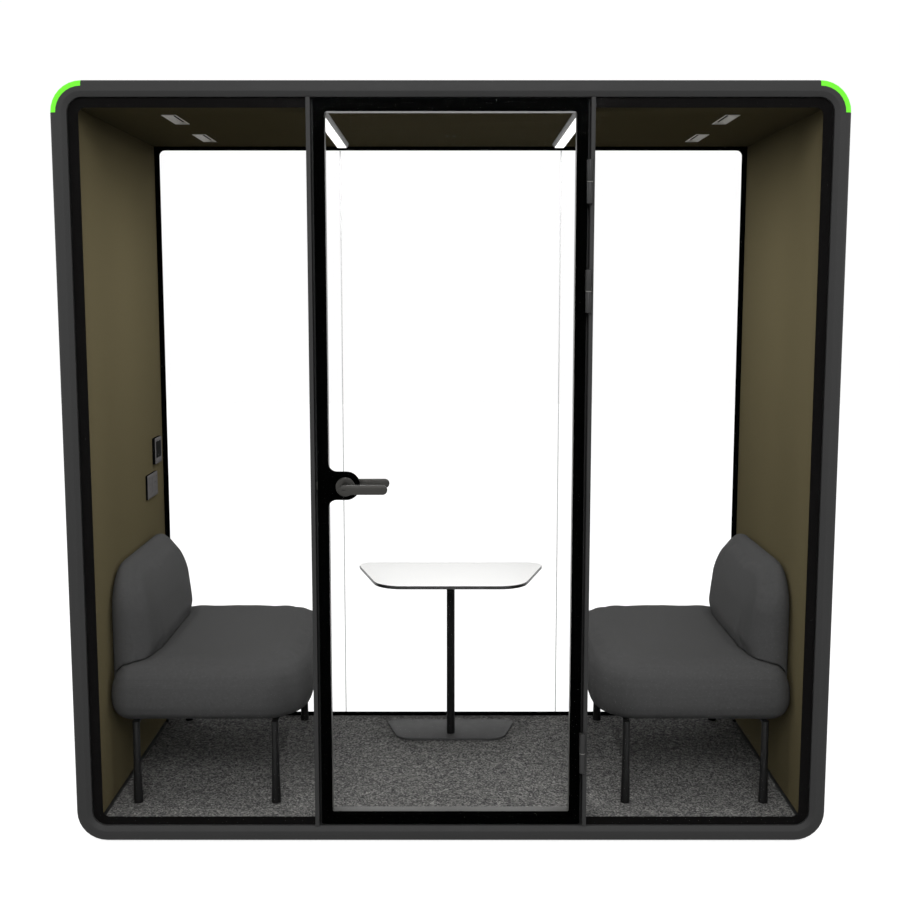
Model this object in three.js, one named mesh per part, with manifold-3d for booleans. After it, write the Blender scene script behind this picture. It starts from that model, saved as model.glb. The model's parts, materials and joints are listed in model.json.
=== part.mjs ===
// Acoustic meeting pod for two people: a rounded-rectangle cabin with a glazed front and back,
// a hinged glass door, felt walls and ceiling, two upholstered benches and a small table.
// Millimetres. +Z is up, +X is to the right seen from the front, and the front faces -Y.
// While modelling, Y is the depth behind the front ring's face and Z the height above the
// ring's underside. The last lines move the pod so that its origin is under its middle.

import * as THREE from 'three';
import { mergeVertices } from 'three/addons/utils/BufferGeometryUtils.js';
import Module from 'manifold-3d';

const wasm = await Module();
wasm.setup();

// Cabin
const HALF_WIDTH = 1135;
const HEIGHT = 2250;
const DEPTH = 1009;
const GAP = 0.4;
const CORNER_STEPS = 8;
const ARC_STEPS = CORNER_STEPS / 2;
const LAP = 1;
const FULL_ROUND = 0.98;

// Rings: the metal frames round the front and the back
const RING_FACE = 46;
const RING_DEPTH = 70;
const RING_RADIUS = 90;
const RING_WALL = 5;
const RING_EDGE = 10;
const RING_BEVEL_WIDTH = 15;
const RING_BEVEL_DEPTH = 8;
const INNER_HALF_WIDTH = HALF_WIDTH - RING_FACE;
const INNER_RADIUS = RING_RADIUS - RING_FACE;
const INNER_FLOOR = RING_FACE;
const INNER_ROOF = HEIGHT - RING_FACE;
const STATUS_LIGHT_FACE = 16;
const STATUS_LIGHT_DEPTH = 26;

// Shell panels and linings
const PANEL_INSET = 4;
const WALL_FACE = 1073;
const CEILING = 2181;
const CARPET = 52;
const FOOT_HEIGHT = 6;
const FOOT_RADIUS = 25;
const FOOT_EDGE = 2;
const FOOT_TAPER = 5;
const FOOT_STEM_RADIUS = 6;
const FOOT_STEM_TOP = 30;
const FOOT_X = 1000;
const FOOT_INSET = 130;

// Glazing
const GLASS = 8;
const FRONT_GLASS_FACE = RING_BEVEL_DEPTH;
const REAR_SEAM_X = 400;
const REAR_SEAM = 1.2;

// Door opening
const POST_INNER = 399;
const POST_OUTER = 411;
const POST_FRONT = 3;
const LINING_X = 366;
const LINING_PLATE = 3;
const LINING_FRONT = 40;
const LINING_BACK = 122;
const HEAD = 2175;
const THRESHOLD = 62;
const THRESHOLD_SLOPE = 8;

// Door leaf
const LEAF_HALF_WIDTH = 391;
const LEAF_BOTTOM = 50;
const LEAF_TOP = 2198;
const LEAF_RADIUS = 4;
const LEAF_FRONT = 4;
const STILE_DEPTH = 24;
const STILE = 30;
const STILE_BACK = LEAF_FRONT + GLASS + GAP + STILE_DEPTH;

// Lever handle, its rosettes and the sprung latch
const HANDLE_X = -309;
const HANDLE_Z = 1089;
const ROSETTE_RADIUS = 28.5;
const ROSETTE = 10;
const LOCK_PATCH_RADIUS = 41;
const LOCK_PATCH_FILLET = 25;
const LEVER_HALF_HEIGHT = 14;
const LEVER = 10;
const LEVER_LENGTH = 126;
const LEVER_EDGE = 2;
const LEVER_REACH = 63;
const INNER_LEVER_BACK = 75;
const NECK_RADIUS = 10;
const RUNNING_GAP = 0.6;
const SPINDLE = 8;
const BOLT_TIP = -397;
const BOLT_TAIL = -345;
const BOLT_FRONT = 18.4;
const BOLT_BACK = 30.1;
const BOLT_HALF_HEIGHT = 11;
const BOLT_TRAVEL = 10;
const KEEPER_DEPTH = 6;

// Hinges: lift-off barrels, the pin fixed in the lower half
const HINGE_X = 395.5;
const HINGE_Y = -10;
const HINGE_HEIGHTS = { bottom: 281, middle: 1658, top: 1967 };
const HINGE_HALF_LENGTH = 62;
const HINGE_WASHER = 2;
const BARREL_RADIUS = 9;
const PIN_RADIUS = 5;
const PIN_LENGTH = 50;

// Ceiling fittings
const LIGHT_X = 386;
const LIGHT_TOP = 50;
const LIGHT_BOTTOM = 36;
const LIGHT_DROP = 13;
const LIGHT_FRONT = 124;
const LIGHT_BACK = 911;
const DIFFUSER_WIDTH = 30;
const DIFFUSER = 5;
const OUTLET_INNER_X = 819;
const OUTLET_WIDTH = 45;
const OUTLET_LENGTH = 197;
const OUTLET_FRONTS = { front: 196, rear: 644 };
const OUTLET_FLANGE = 1.5;
const OUTLET_LIP = 3;
const OUTLET_WALL = 1.6;
const BLADE_COVER = 0.6;
const BLADE_RISE = 3;
const BLADE = 2;

// Fan in the roof, fed through slots and blowing into ducts that lead to the outlets
const FAN_Y = 518;
const FAN_SIZE = 150;
const FAN_HEIGHT = 25;
const FAN_CAVITY_RADIUS = 64;
const FAN_FLOOR = 3;
const IMPELLER_RADIUS = 60;
const IMPELLER_HEIGHT = 18;
const IMPELLER_BLADES = 18;
const IMPELLER_BLADE_CHORD = 16;
const IMPELLER_BLADE = 1.6;
const IMPELLER_PLATE = 2;
const HUB_RADIUS = 18;
const HUB_HEIGHT = 14;
const SHAFT_RADIUS = 6;
const DUCT_DEPTH = 27;
const DUCT_WIDTH = 96;
const INTAKE_SLOTS = 9;
const INTAKE_PITCH = 13;
const INTAKE_SLOT = 6;
const INTAKE_RADIUS = 62;

// Wall fittings on the left wall
const PANEL_Y = [830, 930];
const PANEL_Z = [1042, 1137];
const PANEL_THICKNESS = 11;
const PANEL_RADIUS = 6;
const SCREEN_SIDE = 12;
const SCREEN_BELOW = 22;
const SCREEN_ABOVE = 14;
const SOCKET_Y = [718, 864];
const SOCKET_Z = [931, 1017];
const SOCKET_THICKNESS = 8;
const SOCKET_RADIUS = 5;
const SOCKET_WELL = 54;
const SOCKET_PITCH = 66;
const FITTING_EDGE = 2;
const FITTING_RECESS = 2;

// Table
const TABLE_TOP = 654;
const TABLE_THICKNESS = 12;
const TABLE_FRONT = 583;
const TABLE_BACK = 970;
const TABLE_FRONT_HALF = 248;
const TABLE_BACK_HALF = 353;
const TABLE_FRONT_RADIUS = 105;
const TABLE_BACK_RADIUS = 48;
const COLUMN_Y = 780;
const COLUMN_RADIUS = 14.5;
const COLUMN_PLATE_RADIUS = 80;
const COLUMN_PLATE = 5;
const BASE_FRONT = 721;
const BASE_BACK = 925;
const BASE_FRONT_HALF = 188;
const BASE_BACK_HALF = 243;
const BASE_FRONT_RADIUS = 60;
const BASE_BACK_RADIUS = 35;
const BASE_THICKNESS = 8;

// Bench: seat, back and leg frame; the left one is modelled and the right one mirrored
const BENCH_WALL = -1071;
const SEAT_EDGE = -420;
const SEAT_FRONT = 135;
const SEAT_BACK = 978;
const SEAT_UNDERSIDE = 318;
const SEAT_THICKNESS = 187;
const SEAT_WALL_RADIUS = 60;
const SEAT_EDGE_RADIUS = 190;
const BACK_FRONT = 190;
const BACK_BACK = 925;
const BACK_BOTTOM = 300;
const BACK_FOOT = 440;
const BACK_TOP = 815;
const BACK_RADIUS = 160;
const BACK_FOOT_RADIUS = 60;
const BACK_THICKNESS = 139;
const BACK_LEAN = 0.55;
const BACK_LEAN_POWER = 1.3;
const BACK_LEAN_FROM = 480;
const LEG_X = [-990, -553];
const LEG_Y = [172, 945];
const LEG_TOP_RADIUS = 11.2;
const LEG_WAIST_RADIUS = 11.6;
const LEG_WAIST = 140;
const LEG_FOOT_RADIUS = 14.8;
const LEG_FOOT = 12;
const CROSS_RAIL_Y = [225, 892];
const RAIL_WIDTH = 20;
const RAIL = 6;
const BACK_LIFT = 0.8;

const paint = (color, roughness, metalness = 0) =>
  new THREE.MeshStandardMaterial({ color, roughness, metalness });
const finishes = {
  charcoal: paint(0x424242, 0.5, 0.2),
  shell: paint(0x3a3a3a, 0.6),
  post: paint(0x404040, 0.5, 0.3),
  blackMetal: paint(0x141414, 0.45, 0.3),
  glass: new THREE.MeshStandardMaterial({
    color: 0xe6efec, roughness: 0.05, transparent: true, opacity: 0.25,
  }),
  felt: paint(0x544d3a, 0.95),
  carpet: paint(0x4a4a4a, 1),
  aluminium: paint(0x9a9a98, 0.4, 0.8),
  lightLens: paint(0xf6f6f2, 0.4),
  statusLens: paint(0x80ff40, 0.4),
  greyPlastic: paint(0x828078, 0.55),
  darkPlastic: paint(0x3c3b3a, 0.5),
  upholstery: paint(0x464646, 0.95),
  laminate: paint(0xf0f0ee, 0.45),
  handle: paint(0x464540, 0.35, 0.7),
  rubber: paint(0x161616, 0.9),
};

const pod = new THREE.Group();

// Geometry helpers

function toSolid(geometry) {
  const bare = geometry.clone();
  bare.deleteAttribute('normal');
  bare.deleteAttribute('uv');
  const merged = mergeVertices(bare, 1e-3);
  const mesh = new wasm.Mesh({
    numProp: 3,
    vertProperties: new Float32Array(merged.attributes.position.array),
    triVerts: new Uint32Array(merged.index.array),
  });
  return new wasm.Manifold(mesh);
}

function toGeometry(solid) {
  const mesh = solid.getMesh();
  const geometry = new THREE.BufferGeometry();
  geometry.setAttribute('position', new THREE.BufferAttribute(mesh.vertProperties, 3));
  geometry.setIndex(new THREE.BufferAttribute(mesh.triVerts, 1));
  return geometry;
}

const join = (...geometries) => geometries.map(toSolid).reduce((a, b) => a.add(b));
const cut = (body, ...tools) => tools.reduce((a, tool) => a.subtract(toSolid(tool)), body);

function addPart(name, shape, material) {
  const geometry = shape.isBufferGeometry ? shape : toGeometry(shape);
  geometry.computeVertexNormals();
  const mesh = new THREE.Mesh(geometry, material);
  mesh.name = name;
  pod.add(mesh);
}

function block([x0, x1], [y0, y1], [z0, z1]) {
  const geometry = new THREE.BoxGeometry(x1 - x0, y1 - y0, z1 - z0);
  return geometry.translate((x0 + x1) / 2, (y0 + y1) / 2, (z0 + z1) / 2);
}

// A prism of an X-Z outline from depth y0 to y1
function upright(shape, y0, y1) {
  const geometry = new THREE.ExtrudeGeometry(shape, {
    depth: y1 - y0, bevelEnabled: false, curveSegments: ARC_STEPS,
  });
  return geometry.rotateX(Math.PI / 2).translate(0, y1, 0);
}

// A prism of an X-Y outline from height z0 to z1
function flat(shape, z0, z1) {
  const geometry = new THREE.ExtrudeGeometry(shape, {
    depth: z1 - z0, bevelEnabled: false, curveSegments: ARC_STEPS,
  });
  return geometry.translate(0, 0, z0);
}

// A closed outline through corners [a, b, radius], each rounded by an arc that touches its sides;
// a corner of radius 0 stays sharp
function filleted(corners, Outline = THREE.Shape) {
  const outline = new Outline();
  corners.forEach(([a, b, radius], i) => {
    const corner = new THREE.Vector2(a, b);
    const before = corners[(i + corners.length - 1) % corners.length];
    const after = corners[(i + 1) % corners.length];
    const back = new THREE.Vector2(before[0], before[1]).sub(corner).normalize();
    const ahead = new THREE.Vector2(after[0], after[1]).sub(corner).normalize();
    const half = Math.acos(THREE.MathUtils.clamp(back.dot(ahead), -1, 1)) / 2;
    const trim = radius / Math.tan(half);
    const start = back.clone().multiplyScalar(trim).add(corner);
    const end = ahead.clone().multiplyScalar(trim).add(corner);
    outline[i === 0 ? 'moveTo' : 'lineTo'](start.x, start.y);
    if (radius > 0) {
      const centre = back.clone().add(ahead).setLength(radius / Math.sin(half)).add(corner);
      const isClockwise = back.cross(ahead) > 0;
      const from = start.sub(centre).angle();
      outline.absarc(centre.x, centre.y, radius, from, end.sub(centre).angle(), isClockwise);
    }
  });
  outline.closePath();
  return outline;
}

const rectangle = ([a0, a1], [b0, b1], radius, Outline) => filleted(
  [[a0, b0, radius], [a1, b0, radius], [a1, b1, radius], [a0, b1, radius]], Outline,
);

// A closed body skinned over rings of equal length; a loop joins the last ring to the first
function skin(rings, isLoop = false) {
  const count = rings[0].length;
  const points = rings.flat();
  const faces = [];
  const bands = isLoop ? rings.length : rings.length - 1;
  for (let ring = 0; ring < bands; ring += 1) {
    for (let k = 0; k < count; k += 1) {
      const a = ring * count + k;
      const b = ring * count + ((k + 1) % count);
      const c = (((ring + 1) % rings.length) * count) + k;
      const d = (((ring + 1) % rings.length) * count) + ((k + 1) % count);
      faces.push([a, b, c], [b, d, c]);
    }
  }
  if (!isLoop) {
    const last = (rings.length - 1) * count;
    for (let k = 1; k < count - 1; k += 1) {
      faces.push([0, k + 1, k], [last, last + k, last + k + 1]);
    }
  }
  return facingOut(points, faces);
}

function facingOut(points, faces) {
  const volume = faces.reduce((sum, [a, b, c]) => sum
    + points[a].dot(new THREE.Vector3().crossVectors(points[b], points[c])), 0);
  const ordered = volume > 0 ? faces : faces.map(([a, b, c]) => [a, c, b]);
  const geometry = new THREE.BufferGeometry().setFromPoints(points);
  return geometry.setIndex(ordered.flat());
}

function mirrored(geometry) {
  const twin = geometry.clone().scale(-1, 1, 1);
  const order = twin.index.array;
  for (let i = 0; i < order.length; i += 3) {
    [order[i], order[i + 1]] = [order[i + 1], order[i]];
  }
  return twin;
}

// A round bar, or any turned profile of [radius, position along the axis], standing on Z
const turned = (profile, sides = 24) => new THREE.LatheGeometry(
  profile.map(([radius, along]) => new THREE.Vector2(radius, along)), sides,
).rotateX(Math.PI / 2);

const disc = (radius, z0, z1, sides) => turned([[0, z0], [radius, z0], [radius, z1], [0, z1]], sides);

// The same turned profile lying along +Y
const turnedAlongDepth = (profile, sides) => turned(profile, sides).rotateX(-Math.PI / 2);

// Rings and status lights

// Stations round the outline: a corner's centre and a direction out from it
function cornerStations(sideX, sideZ, trim = 0) {
  const centre = new THREE.Vector3(
    sideX * (HALF_WIDTH - RING_RADIUS),
    0,
    sideZ > 0 ? HEIGHT - RING_RADIUS : RING_RADIUS,
  );
  const first = { '1,1': 0, '-1,1': 1, '-1,-1': 2, '1,-1': 3 }[`${sideX},${sideZ}`] * Math.PI / 2;
  return Array.from({ length: CORNER_STEPS + 1 }, (_, k) => {
    const angle = first + trim + (Math.PI / 2 - 2 * trim) * (k / CORNER_STEPS);
    return { centre, out: new THREE.Vector3(Math.cos(angle), 0, Math.sin(angle)) };
  });
}

const alongStations = (stations, section) => stations.map(({ centre, out }) => section.map(
  ([inward, depth]) => centre.clone().addScaledVector(out, RING_RADIUS - inward).setY(depth),
));

const edgeArc = (radius, offset) => Array.from({ length: 4 }, (_, k) => {
  const angle = (k / 3) * (Math.PI / 2);
  return [offset + radius * (1 - Math.cos(angle)), offset + radius * (1 - Math.sin(angle))];
});

// Section of the channel-shaped profile as [distance in from the outer face, depth]
function ringSection() {
  const slope = RING_FACE - RING_BEVEL_WIDTH;
  return [
    ...edgeArc(RING_EDGE, 0),
    [slope, 0],
    [RING_FACE, RING_BEVEL_DEPTH],
    [RING_FACE, RING_DEPTH],
    [RING_FACE - RING_WALL, RING_DEPTH],
    [RING_FACE - RING_WALL, RING_BEVEL_DEPTH + RING_WALL],
    [slope - RING_WALL, RING_WALL],
    ...edgeArc(RING_EDGE - RING_WALL, RING_WALL).reverse(),
    [RING_WALL, RING_DEPTH],
    [0, RING_DEPTH],
  ];
}

function addRings() {
  const stations = [[1, 1], [-1, 1], [-1, -1], [1, -1]].flatMap(([x, z]) => cornerStations(x, z));
  const section = ringSection();
  const rearSection = section.map(([inward, depth]) => [inward, DEPTH - depth]);
  const notch = [
    [-1, -1],
    [STATUS_LIGHT_FACE + GAP, -1],
    [STATUS_LIGHT_FACE + GAP, STATUS_LIGHT_DEPTH + GAP],
    [-1, STATUS_LIGHT_DEPTH + GAP],
  ];
  const lens = [
    ...edgeArc(RING_EDGE, 0),
    [STATUS_LIGHT_FACE, 0],
    [STATUS_LIGHT_FACE, STATUS_LIGHT_DEPTH],
    [0, STATUS_LIGHT_DEPTH],
  ];
  const notches = [1, -1].map((side) => skin(alongStations(cornerStations(side, 1), notch)));
  const ring = toSolid(skin(alongStations(stations, section), true));
  addPart('front_ring', cut(ring, ...notches), finishes.charcoal);
  addPart('rear_ring', skin(alongStations(stations, rearSection), true), finishes.charcoal);
  for (const [name, side] of [['left', -1], ['right', 1]]) {
    const stretch = cornerStations(side, 1, GAP / RING_RADIUS);
    addPart(`status_light_${name}`, skin(alongStations(stretch, lens)), finishes.statusLens);
  }
}

// Shell panels between the rings, and the adjustable feet

function footPlaces() {
  const depths = { front: FOOT_INSET, rear: DEPTH - FOOT_INSET };
  return Object.entries(depths).flatMap(([row, y]) => [
    { name: `foot_${row}_left`, x: -FOOT_X, y },
    { name: `foot_${row}_right`, x: FOOT_X, y },
  ]);
}

function addShell() {
  const front = RING_DEPTH + GAP;
  const back = DEPTH - RING_DEPTH - GAP;
  const outerRadius = RING_RADIUS - PANEL_INSET;
  const outer = rectangle(
    [PANEL_INSET - HALF_WIDTH, HALF_WIDTH - PANEL_INSET],
    [PANEL_INSET, HEIGHT - PANEL_INSET],
    outerRadius,
  );
  outer.holes.push(rectangle(
    [-INNER_HALF_WIDTH, INNER_HALF_WIDTH], [INNER_FLOOR, INNER_ROOF], 0, THREE.Path,
  ));
  const tube = toSolid(upright(outer, front, back));
  const slice = (x, z) => tube.intersect(toSolid(block(x, [front - 1, back + 1], z)));
  const full = [-HALF_WIDTH, HALF_WIDTH];
  const sides = [INNER_FLOOR + GAP / 2, INNER_ROOF - GAP / 2];
  addPart('roof_shell', cutRoof(slice(full, [INNER_ROOF + GAP / 2, HEIGHT])), finishes.shell);
  addPart('left_side_panel', slice([-HALF_WIDTH, 0], sides), finishes.shell);
  addPart('right_side_panel', slice([0, HALF_WIDTH], sides), finishes.shell);
  const sockets = footPlaces().map(({ x, y }) => (
    disc(FOOT_STEM_RADIUS + RUNNING_GAP, 0, FOOT_STEM_TOP + RUNNING_GAP, 16).translate(x, y, 0)
  ));
  addPart('base_shell', cut(slice(full, [0, INNER_FLOOR - GAP / 2]), ...sockets), finishes.shell);
  const padTop = PANEL_INSET - GAP;
  for (const { name, x, y } of footPlaces()) {
    const foot = turned([
      [0, -FOOT_HEIGHT], [FOOT_RADIUS - FOOT_EDGE, -FOOT_HEIGHT],
      [FOOT_RADIUS, FOOT_EDGE - FOOT_HEIGHT], [FOOT_RADIUS - FOOT_TAPER, padTop], [FOOT_STEM_RADIUS, padTop],
      [FOOT_STEM_RADIUS, FOOT_STEM_TOP], [0, FOOT_STEM_TOP],
    ], 16);
    addPart(name, foot.translate(x, y, 0), finishes.rubber);
  }
}

// Intake slots through the roof's skin, and the duct below it from the fan to the outlets
function cutRoof(roof) {
  const ductTop = INNER_ROOF + DUCT_DEPTH;
  const below = INNER_ROOF - 1;
  const outletSpan = [
    OUTLET_FRONTS.front, OUTLET_FRONTS.rear + OUTLET_LENGTH,
  ];
  const outer = OUTLET_INNER_X + OUTLET_WIDTH;
  const sideDucts = [[-outer, -OUTLET_INNER_X], [OUTLET_INNER_X, outer]].map(
    (x) => block(x, outletSpan, [below, ductTop]),
  );
  const crossDuct = block(
    [-outer, outer], [FAN_Y - DUCT_WIDTH / 2, FAN_Y + DUCT_WIDTH / 2], [below, ductTop],
  );
  const half = FAN_SIZE / 2 + RUNNING_GAP;
  const fanPocket = block([-half, half], [FAN_Y - half, FAN_Y + half], [below, ductTop]);
  const slots = Array.from({ length: INTAKE_SLOTS }, (_, k) => {
    const y = (k - (INTAKE_SLOTS - 1) / 2) * INTAKE_PITCH;
    const reach = Math.sqrt(INTAKE_RADIUS ** 2 - y ** 2);
    const width = [FAN_Y + y - INTAKE_SLOT / 2, FAN_Y + y + INTAKE_SLOT / 2];
    return block([-reach, reach], width, [ductTop - 1, HEIGHT + 1]);
  });
  return cut(roof, ...sideDucts, crossDuct, fanPocket, ...slots);
}

// Radial fan: an open square housing with a shaft, and a wheel of curved blades
function addFan() {
  const bottom = INNER_ROOF + GAP;
  const top = bottom + FAN_HEIGHT;
  const half = FAN_SIZE / 2;
  const housing = cut(
    toSolid(block([-half, half], [-half, half], [bottom, top])),
    disc(FAN_CAVITY_RADIUS, bottom + FAN_FLOOR, top + 1, 32),
    block([-half - 1, half + 1], [-DUCT_WIDTH / 3, DUCT_WIDTH / 3], [bottom + FAN_FLOOR, top + 1]),
  ).add(toSolid(disc(SHAFT_RADIUS, bottom + LAP, top - FAN_FLOOR, 16))).translate(0, FAN_Y, 0);
  addPart('fan_housing', housing, finishes.darkPlastic);

  const floor = bottom + FAN_FLOOR + 1;
  const plate = join(
    disc(IMPELLER_RADIUS, floor, floor + IMPELLER_PLATE, 36),
    disc(HUB_RADIUS, floor, floor + HUB_HEIGHT, 20),
  );
  const blade = new THREE.Shape();
  blade.absarc(0, 0, IMPELLER_BLADE_CHORD, 0, Math.PI / 3, false);
  blade.absarc(0, 0, IMPELLER_BLADE_CHORD - IMPELLER_BLADE, Math.PI / 3, 0, true);
  const wheel = Array.from({ length: IMPELLER_BLADES }, (_, k) => {
    const turn = (k / IMPELLER_BLADES) * Math.PI * 2;
    const fin = new THREE.ExtrudeGeometry(blade, {
      depth: IMPELLER_HEIGHT, bevelEnabled: false, curveSegments: 3,
    });
    const inset = IMPELLER_RADIUS - IMPELLER_BLADE_CHORD - 2 * LAP;
    return fin.translate(inset, -IMPELLER_BLADE_CHORD / 2, floor + LAP).rotateZ(turn);
  }).reduce((sum, fin) => sum.add(toSolid(fin)), plate);
  const bored = cut(wheel, disc(SHAFT_RADIUS + RUNNING_GAP, bottom, top + LAP, 20));
  addPart('fan_impeller', bored.translate(0, FAN_Y, 0), finishes.darkPlastic);
}

// Felt walls, felt ceiling and carpet, all trimmed to the rings' rounded inner outline

function addLinings() {
  const front = FRONT_GLASS_FACE + GLASS + GAP;
  const back = DEPTH - front;
  const core = toSolid(upright(rectangle(
    [GAP - INNER_HALF_WIDTH, INNER_HALF_WIDTH - GAP],
    [INNER_FLOOR + GAP, INNER_ROOF - GAP],
    INNER_RADIUS - GAP,
  ), front, back));
  const depth = [front - 1, back + 1];
  const slice = (x, z) => core.intersect(toSolid(block(x, depth, z)));
  const wall = slice([-HALF_WIDTH, -WALL_FACE], [0, CEILING - GAP]);
  addPart('left_wall_lining', wall, finishes.felt);
  addPart('right_wall_lining', mirrored(toGeometry(wall)), finishes.felt);

  const doorway = (z) => block([-POST_OUTER - GAP, POST_OUTER + GAP], [0, LINING_BACK + GAP], z);
  const holes = outletPlaces().map(({ x, y }) => block(
    [x[0] + OUTLET_LIP, x[1] - OUTLET_LIP], [y[0] + OUTLET_LIP, y[1] - OUTLET_LIP], [0, HEIGHT],
  ));
  const ceiling = slice([-HALF_WIDTH, HALF_WIDTH], [CEILING, HEIGHT]);
  addPart('ceiling_lining', cut(ceiling, doorway([0, HEIGHT]), ...holes), finishes.felt);
  const floor = slice([GAP - WALL_FACE, WALL_FACE - GAP], [0, CARPET]);
  addPart('carpet', cut(floor, doorway([0, HEIGHT])), finishes.carpet);
}

// Fixed glass at the front, three butted panes at the back

function pane([x0, x1], y, roundLeft, roundRight) {
  const radius = INNER_RADIUS - GAP;
  const z0 = INNER_FLOOR + GAP;
  const z1 = INNER_ROOF - GAP;
  const left = roundLeft ? radius : 0;
  const right = roundRight ? radius : 0;
  const outline = filleted([[x0, z0, left], [x1, z0, right], [x1, z1, right], [x0, z1, left]]);
  return upright(outline, y, y + GLASS);
}

function addGlazing() {
  const edge = INNER_HALF_WIDTH - GAP;
  const inner = POST_OUTER + GAP;
  const rear = DEPTH - FRONT_GLASS_FACE - GLASS;
  const seam = REAR_SEAM / 2;
  addPart('front_glass_left', pane([-edge, -inner], FRONT_GLASS_FACE, true, false), finishes.glass);
  addPart('front_glass_right', pane([inner, edge], FRONT_GLASS_FACE, false, true), finishes.glass);
  addPart('rear_glass_left', pane([-edge, -REAR_SEAM_X - seam], rear, true, false), finishes.glass);
  addPart('rear_glass_centre', pane([seam - REAR_SEAM_X, REAR_SEAM_X - seam], rear), finishes.glass);
  addPart('rear_glass_right', pane([REAR_SEAM_X + seam, edge], rear, false, true), finishes.glass);
}

// Door posts, lining and threshold

function addDoorway() {
  const z = [INNER_FLOOR + GAP, INNER_ROOF - GAP];
  const profile = new THREE.Shape();
  profile.moveTo(POST_INNER, POST_FRONT);
  profile.lineTo(POST_OUTER, POST_FRONT);
  profile.lineTo(POST_OUTER, LINING_BACK);
  profile.lineTo(LINING_X + LINING_PLATE + GAP, LINING_BACK);
  profile.lineTo(LINING_X + LINING_PLATE + GAP, LINING_FRONT);
  profile.lineTo(POST_INNER, LINING_FRONT);
  profile.closePath();
  const post = toGeometry(toSolid(flat(profile, ...z)));
  addPart('door_post_right', post, finishes.post);
  const keeper = block(
    [-POST_INNER - KEEPER_DEPTH, -POST_INNER + 1],
    [BOLT_FRONT - 2, BOLT_BACK + 2],
    [HANDLE_Z - BOLT_HALF_HEIGHT - 2, HANDLE_Z + BOLT_HALF_HEIGHT + 2],
  );
  addPart('door_post_left', cut(toSolid(mirrored(post)), keeper), finishes.post);

  const depth = [LINING_FRONT, LINING_BACK];
  const outside = LINING_X + LINING_PLATE;
  const lining = cut(
    toSolid(block([-outside, outside], depth, z)),
    block([-LINING_X, LINING_X], [0, DEPTH], [0, HEAD]),
  );
  addPart('door_lining', lining, finishes.aluminium);

  const ramp = new THREE.Shape();
  ramp.moveTo(LINING_FRONT, z[0]);
  ramp.lineTo(LINING_BACK, z[0]);
  ramp.lineTo(LINING_BACK, CARPET);
  ramp.lineTo(LINING_BACK - THRESHOLD_SLOPE, THRESHOLD);
  ramp.lineTo(LINING_FRONT, THRESHOLD);
  ramp.closePath();
  const sill = 2 * (LINING_X - GAP);
  const bar = new THREE.ExtrudeGeometry(ramp, { depth: sill, bevelEnabled: false });
  bar.rotateX(Math.PI / 2).rotateZ(Math.PI / 2).translate(-sill / 2, 0, 0);
  addPart('door_threshold', bar, finishes.aluminium);
}

// Door leaf: a full glass pane on a slim frame whose left stile widens round the lock

function addDoorLeaf() {
  const x = [-LEAF_HALF_WIDTH, LEAF_HALF_WIDTH];
  const z = [LEAF_BOTTOM, LEAF_TOP];
  const back = LEAF_FRONT + GLASS;
  const bore = (radius) => turnedAlongDepth([[0, 0], [radius, 0], [radius, 60], [0, 60]], 24)
    .translate(HANDLE_X, 0, HANDLE_Z);
  const glass = cut(
    toSolid(upright(rectangle(x, z, LEAF_RADIUS), LEAF_FRONT, back)), bore(LEVER_HALF_HEIGHT),
  );
  addPart('door_glass', glass, finishes.glass);

  const frame = rectangle(x, z, LEAF_RADIUS);
  const inner = LEAF_HALF_WIDTH - STILE;
  const patch = LOCK_PATCH_RADIUS + HANDLE_X;
  const reach = LOCK_PATCH_RADIUS;
  frame.holes.push(filleted([
    [-inner, z[0] + STILE, LEAF_RADIUS],
    [inner, z[0] + STILE, LEAF_RADIUS],
    [inner, z[1] - STILE, LEAF_RADIUS],
    [-inner, z[1] - STILE, LEAF_RADIUS],
    [-inner, HANDLE_Z + reach, LOCK_PATCH_FILLET],
    [patch, HANDLE_Z + reach, reach * FULL_ROUND],
    [patch, HANDLE_Z - reach, reach * FULL_ROUND],
    [-inner, HANDLE_Z - reach, LOCK_PATCH_FILLET],
  ], THREE.Path));
  const pocket = block(
    [-LEAF_HALF_WIDTH - 1, BOLT_TAIL + BOLT_TRAVEL + 2],
    [BOLT_FRONT - RUNNING_GAP, BOLT_BACK + RUNNING_GAP],
    [HANDLE_Z - BOLT_HALF_HEIGHT - RUNNING_GAP, HANDLE_Z + BOLT_HALF_HEIGHT + RUNNING_GAP],
  );
  const stiles = toSolid(upright(frame, back + GAP, STILE_BACK));
  addPart('door_frame', cut(stiles, pocket, bore(LEVER_HALF_HEIGHT)), finishes.blackMetal);
}

// Lever handles on both faces, joined by a square spindle, with rosettes and the latch bolt

function leverArm(y0) {
  const end = LEVER_HALF_HEIGHT;
  const outline = rectangle([-end, LEVER_LENGTH], [-end, end], end * FULL_ROUND);
  const edge = LEVER_EDGE;
  const arm = new THREE.ExtrudeGeometry(outline, {
    depth: LEVER - 2 * edge, bevelThickness: edge, bevelSize: edge, bevelOffset: -edge,
    bevelSegments: 2, curveSegments: ARC_STEPS,
  });
  return arm.rotateX(Math.PI / 2).translate(HANDLE_X, y0 + LEVER - edge, HANDLE_Z);
}

const spindleBar = (size, y0, y1) => block(
  [HANDLE_X - size / 2, HANDLE_X + size / 2], [y0, y1], [HANDLE_Z - size / 2, HANDLE_Z + size / 2],
);

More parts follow.
